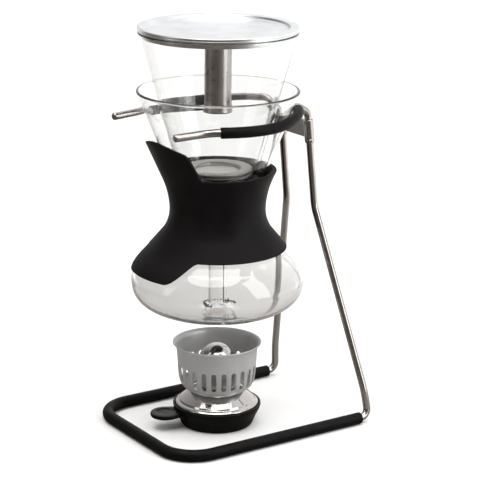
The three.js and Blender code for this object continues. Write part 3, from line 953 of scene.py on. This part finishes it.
spring_low_z = node_box("filter_spring")[0][2] + 0.6
spring_high_z = node_box("filter_spring")[1][2] - 0.6


def make_spring():
    """Open coil spring with closed end turns, that stretches between the funnel and the filter."""
    radius, turns, end_turn = 4.2, 9, 0.12
    points = []
    for k in range(turns * 24 + 1):
        share = k / (turns * 24)
        climb = np.interp(share, [0, end_turn, 1 - end_turn, 1], [0, 0.035, 0.965, 1])
        angle = 2 * math.pi * turns * share
        z = spring_low_z + (spring_high_z - spring_low_z) * climb
        points.append(np.array([radius * math.cos(angle), radius * math.sin(angle), z]))
    shape = rod(points, 0.55, 0.2, sides=12, step=0.8)
    spring = add("filter_coil", shape, rod_finish, None, ["filter_spring"])
    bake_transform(spring)


def make_wire():
    """Pull wire down the stem's wall, which turns round the stem's rim as a hook."""
    wire_radius = 0.7
    hook_angle = math.radians(56.6)
    wall_x = stem_radius - stem_wall - wire_radius - 0.35
    hook_x = stem_radius + wire_radius + 0.9
    low = stem_end_z - wire_radius - gap
    points = [(0, spring_low_z - 1), (wall_x, 184), (wall_x, low), (hook_x, low), (hook_x, 123)]
    path = bend([(x * math.cos(hook_angle), x * math.sin(hook_angle), z) for x, z in points], [40, 1.4, 1.4])
    wire = rod(path, wire_radius, 0.3, sides=16, step=1.0)
    add("pull_hook", wire, rod_finish, "funnel", ["pull_wire"])


def make_chain():
    """Beads on a fine wire round the stem's end, with a short neck between each two, and a tail."""
    bead_radius, pitch, loop_radius, tail_reach, count = 1.25, 3.4, 12.4, 4.5, 18
    places = []
    angle = math.radians(45)
    for k in range(count):
        radius = loop_radius + tail_reach * (1 - smooth(k / 3))
        places.append((radius * math.cos(angle), radius * math.sin(angle), 119 - 1.2 * smooth(k / 5)))
        angle += pitch / radius
    path, along = evenly(curve(places, 6), 0.25)
    length = along[-1]
    profile = [(0, 0)]
    for s in np.linspace(0, length, count * 16 + 1):
        nearest = abs((s + pitch / 2) % pitch - pitch / 2)
        ball = math.sqrt(max(bead_radius**2 - nearest**2, 0))
        profile.append((s, max(ball, 0.4)))
    profile.append((length, 0))
    add("bead_chain", sweep(path, profile, 20, 0.25), rod_finish, "funnel", ["boil_chain"])


make_funnel()
make_gasket()
make_filter()
make_filter_plate()
make_spring()
make_wire()
make_chain()


# ---- Lid ---------------------------------------------------------------------------------------

lid_top_z = node_box("lid_plate")[1][2]
lid_tube_low, lid_tube_high = node_box("lid_tube")


def make_lid():
    """Pressed lid: a sunk middle, a broad flat rim and a short skirt inside the funnel."""
    top = lid_top_z
    bottom = top - 4.5
    outline = section([
        (0, top - 3.2, 0), (62, top - 3.2, 2), (63.8, top - 2.4, 1.2), (65, top - 0.4, 1.2),
        (66.4, top, 1.2), (72.2, top, 0.8), (73.4, top - 0.7, 0.6), (73.4, top - 2.2, 0.5),
        (72.9, top - 2.6, 0.2), (73.4, top - 3.0, 0.3), (73.4, bottom + 0.3, 0.4), (72.6, bottom, 0.3),
        (69.8, bottom, 0.3), (69.3, bottom - 4.9, 0.3), (68.4, bottom - 4.9, 0.3), (68.4, bottom, 0.8),
        (64, top - 4.1, 1.5), (0, top - 4.1, 0),
    ])
    add("lid", lathe(outline, 192), lid_finish, "lid", ["lid_plate"])


def make_lid_tube():
    """Thin tube with a rolled lip, under the middle of the lid."""
    top, low = lid_tube_high[2], lid_tube_low[2]
    radius, bore = 12.4, 11.4
    face = [(13.1, 0.6), (13.4, 1.2), (13.1, 2.6), (12.7, 6), (radius, 14), (radius, 40)]
    back = [(bore, 40), (bore, 14), (11.7, 6), (12.1, 2.6), (12.4, 0.9), (12.8, 0.2)]
    outside = curve([(r, low + z) for r, z in face], 5)
    inside = curve([(r, low + z) for r, z in back], 5)
    outline = [*outside, np.array([radius, top]), np.array([bore, top]), *inside]
    add("lid_stand", lathe(outline), tube_finish, "lid", ["lid_tube"])


make_lid()
make_lid_tube()


# ---- Burner ------------------------------------------------------------------------------------

lamp_radius = 41.7
tab_turn = math.radians(-11.5)


def make_lamp_cup():
    outline = section([
        (0, 0.02, 0), (33, 0.02, 0.8), (34.3, 1.2, 1.5), (37.6, 9.4, 20), (40.9, 15.8, 8),
        (lamp_radius, 18.2, 2), (lamp_radius, 20.2, 0.7), (40.6, 20.8, 0.5), (39.7, 19.8, 0.5),
        (39.4, 18, 1), (33, 5.6, 2), (31.4, 4, 1), (0, 4, 0),
    ])
    add("lamp_cup", lathe(outline, 160), plastic_finish, "lamp", ["lamp_base"])


def make_lamp_tab():
    """Carrying tab: a leaf with a shallow round dish, that grows out of the cup's side."""
    reach, radius, top, thickness = 52, 14.2, 16.5, 4
    cup_radius, root_half_width = 38, 10.5
    dish_radius, dish_depth = 9.5, 0.9
    segments, corner = 120, 0.35

    def edge(angle):
        """Distance from the dish's middle to the leaf's edge, in a direction."""
        dx, dy = math.cos(angle), math.sin(angle)
        if math.sin(corner) >= dy:
            return radius
        start = np.array([radius * math.cos(corner), radius * math.sin(corner)])
        side = np.array([root_half_width, reach - cup_radius]) - start
        along = abs(dx) * side[1] - dy * side[0]
        to_side = (start[0] * side[1] - start[1] * side[0]) / along if along > 1e-9 else 1e9
        middle = reach * dy
        to_cup = middle - math.sqrt(max(middle**2 - (reach**2 - cup_radius**2), 0))
        return min(to_side, to_cup)

    # Each ring: how far in from the leaf's edge, its height over the top, and its radius if it is round.
    levels = [
        (0.0, -thickness, 0.0), (1.1, -thickness, None), (0.35, -thickness + 0.35, None),
        (0.0, -thickness + 1.1, None), (0.0, -1.1, None), (0.35, -0.3, None), (1.1, 0.0, None),
        (0.0, 0.0, dish_radius + 0.3), (0.0, -0.35, dish_radius - 0.2),
        (0.0, -dish_depth, dish_radius - 1.3), (0.0, -dish_depth - 0.1, dish_radius * 0.5),
        (0.0, -dish_depth - 0.1, 0.0),
    ]
    turn = np.array([[math.cos(tab_turn), -math.sin(tab_turn)], [math.sin(tab_turn), math.cos(tab_turn)]])
    rings = []
    for inwards, drop, fixed in levels:
        points = []
        for k in range(1 if fixed == 0.0 else segments):
            angle = 2 * math.pi * k / segments
            away = edge(angle) - inwards if fixed is None else fixed
            flat = turn @ np.array([away * math.cos(angle), away * math.sin(angle) - reach])
            points.append((flat[0], flat[1], top + drop))
        rings.append(points)
    add("lamp_tab", stitch(rings, closed=False), plastic_finish, "lamp", ["lamp_base"])


def make_reservoir():
    """Polished spirit vessel: a rolled seam in the cup, then a cone up to a flat top."""
    outline = section([
        (0, 4.4, 0), (30.6, 4.4, 1), (32.4, 6.1, 1), (38.6, 18.2, 0.6), (39.2, 19.6, 0.8),
        (39.2, 21.2, 0.8), (38, 22.3, 0.8), (36.4, 23.2, 1.2), (35.2, 24.9, 1.2), (26, 33, 6),
        (20, 34.95, 2), (10.6, 34.95, 0.5), (10.6, 34, 0.3), (19.6, 33.9, 2), (25.6, 32, 5),
        (34.4, 24.2, 1), (37.8, 19, 0.5), (31.6, 5.6, 0.5), (0, 5.4, 0),
    ])
    add("spirit_vessel", lathe(outline, 160), polished_finish, "lamp", ["lamp_body"])


def make_wick_holder():
    outline = section([
        (5.3, 18, 0.2), (6.3, 18, 0.3), (6.3, 35.3, 0.3), (14.4, 35.3, 0.3), (15, 35.9, 0.3),
        (14.5, 36.5, 0.5), (8.6, 37.4, 1), (7.2, 38.8, 1), (6.8, 44, 0.5), (7.1, 44.6, 0.4),
        (7.1, 45.6, 0.4), (6.7, 46.2, 0.5), (6.6, 50, 0.5), (6.1, 51, 0.4), (5.3, 51, 0.3),
    ])
    add("wick_tube", lathe(outline, 64), satin_finish, "lamp", ["wick_holder"])


def make_wick():
    """Braided cotton: two families of strands wind against each other, and the top is frayed."""
    radius, low, high = 4.6, 9, 57.3
    strands, lead = 8, 14
    rings = [[(0, 0, low)]]
    for z in np.arange(low + 0.4, high, 0.4):
        shrink = 1 - 0.25 * smooth((z - high + 3) / 3)
        points = []
        for k in range(96):
            angle = 2 * math.pi * k / 96
            twist = 2 * math.pi * (z - low) / lead
            weave = abs(math.sin(strands / 2 * angle + twist)) * abs(math.sin(strands / 2 * angle - twist))
            r = (radius - 0.45 + 0.6 * weave) * shrink
            points.append((r * math.cos(angle), r * math.sin(angle), z))
        rings.append(points)
    rings.append([(0, 0, high)])
    add("wick_braid", stitch(rings, closed=False), cotton_finish, "lamp", ["wick"], crease=80)


slot_count = 24
slot_low_z, slot_high_z = 41.5, 60
guard_wall = np.array(curve([(33.4, 39.2), (34.9, 42.2), (36, 46), (36.7, 52), (37.2, 60), (37.6, 66)], 8))


def guard_face(z):
    """The wind guard's outer radius at a height of its slotted wall."""
    return np.interp(z, guard_wall[:, 1], guard_wall[:, 0])


def make_guard():
    """Slotted bowl of sheet aluminium with a rolled rim and a turned-in foot."""
    wall = 1.2
    cell_low, cell_high = 40.4, 62
    across, up = 6, 20
    pitch = 2 * math.pi / slot_count
    slot_half = 2.45
    edge = 0.25

    foot_points = [(25.4, 34.25), (28.2, 34.9), (30.6, 36.3), (32.3, 37.9), (33.4, 39.2)]
    rim_points = [(37.9, 70), (38.9, 76.4), (40.2, 78.6), (41.6, 79.6)]
    below = curve([*foot_points, (guard_face(cell_low), cell_low)], 5)
    above = curve([(guard_face(cell_high), cell_high), *rim_points], 6)
    below_in, above_in = inset(below, wall), inset(above, wall)
    above_in[0] = (guard_face(cell_high) - wall, cell_high)
    below_in[-1] = (guard_face(cell_low) - wall, cell_low)
    rim = bead((41.35, 80.1), 0.6, -40, 200)
    foot = bead((25.2, 34.85), 0.6, 270, 90)
    lower = lathe_strip([*reversed(below), *foot[1:-1], *below_in], slot_count * across)
    upper = lathe_strip([*above, *rim, *reversed(above_in)], slot_count * across)

    middle = (cell_low + cell_high) / 2
    slot_straight = (slot_high_z - slot_low_z) / 2 - slot_half
    slot_middle = (slot_low_z + slot_high_z) / 2
    half_width = pitch / 2 * guard_face(middle)
    sideways = [-1 + 2 * k / across for k in range(across)]
    upwards = [-1 + 2 * k / up for k in range(up)]
    border = [(x, -1) for x in sideways]
    border += [(1, z) for z in upwards]
    border += [(1 - 2 * k / across, 1) for k in range(across)]
    border += [(-1, 1 - 2 * k / up) for k in range(up)]

    def on_slot(x, z, grown):
        """The slot's edge, grown outwards, in the direction of a border point."""
        reach = slot_half + grown
        tall = slot_straight
        direction = np.array([x * half_width, z * (cell_high - cell_low) / 2])
        direction = direction / np.linalg.norm(direction)
        if abs(direction[0]) > 1e-9:
            t = reach / abs(direction[0])
            if abs(direction[1]) * t <= tall:
                return direction * t
        along = abs(direction[1]) * tall
        t = along + math.sqrt(max(along**2 - (tall**2 - reach**2), 0))
        return direction * t

    loops = []
    for x, z in border:
        outer = np.array([x * half_width, middle + z * (cell_high - cell_low) / 2])
        lips = [on_slot(x, z, grown) + [0, slot_middle] for grown in (0.7, edge, 0.07, 0.0)]
        loops.append([outer, *(outer + (lips[0] - outer) * t for t in (0.5, 1.0)), *lips[1:]])
    depths = [0, 0, 0, 0, 0.07, edge]
    cell = []
    for loop in loops:
        face = [(p, d) for p, d in zip(loop, depths)]
        back = [(p, wall - d) for p, d in reversed(list(zip(loop, depths)))]
        cell.append([*face, *back])
    parts = [lower, upper]
    for k in range(slot_count):
        columns = []
        for loop in cell:
            column = []
            for (x, z), depth in loop:
                angle = (k + 0.5) * pitch + x / half_width * pitch / 2
                r = guard_face(z) - depth
                column.append((r * math.cos(angle), r * math.sin(angle), z))
            columns.append(column)
        parts.append(stitch_open(columns))
    add("wind_shield", joined(*parts), guard_finish, "guard", ["wind_guard"], crease=40)


def stitch_open(columns):
    """Faces between neighbouring columns of points, round a loop, with the columns' ends left open."""
    points = [point for column in columns for point in column]
    size = len(columns[0])
    faces = []
    for c in range(len(columns)):
        a, b = c * size, ((c + 1) % len(columns)) * size
        faces += [(a + k, b + k, b + k + 1, a + k + 1) for k in range(size - 1)]
    return points, faces


def lathe_strip(outline, segments):
    """An outline turned round the z axis and left open along its ends."""
    angles = np.arange(segments) * 2 * math.pi / segments
    rings = [[(r * math.cos(a), r * math.sin(a), z) for a in angles] for r, z in outline]
    return stitch(rings, closed=False)


def make_cap():
    """Polished domed cap with a small rolled foot."""
    radius, apex = 17.3, 78.7
    low = 35.35
    wall = 1.1
    arc = np.radians(np.linspace(0, 90, 19))
    dome = [np.array([radius * math.cos(a), apex - radius + radius * math.sin(a)]) for a in arc]
    inner = [np.array([(radius - wall) * math.cos(a), apex - radius + (radius - wall) * math.sin(a)])
             for a in arc]
    dome[-1][0] = inner[-1][0] = 0
    outline = [*reversed(inner), np.array([radius - wall, low + 0.3]), np.array([radius - wall + 0.3, low]),
               np.array([radius - 0.3, low]), np.array([radius, low + 0.3]), np.array([radius, 40]), *dome]
    add("snuffer", lathe(outline, 128), polished_finish, "cap", ["snuffer_cap"])


make_lamp_cup()
make_lamp_tab()
make_reservoir()
make_wick_holder()
make_wick()
make_guard()
make_cap()
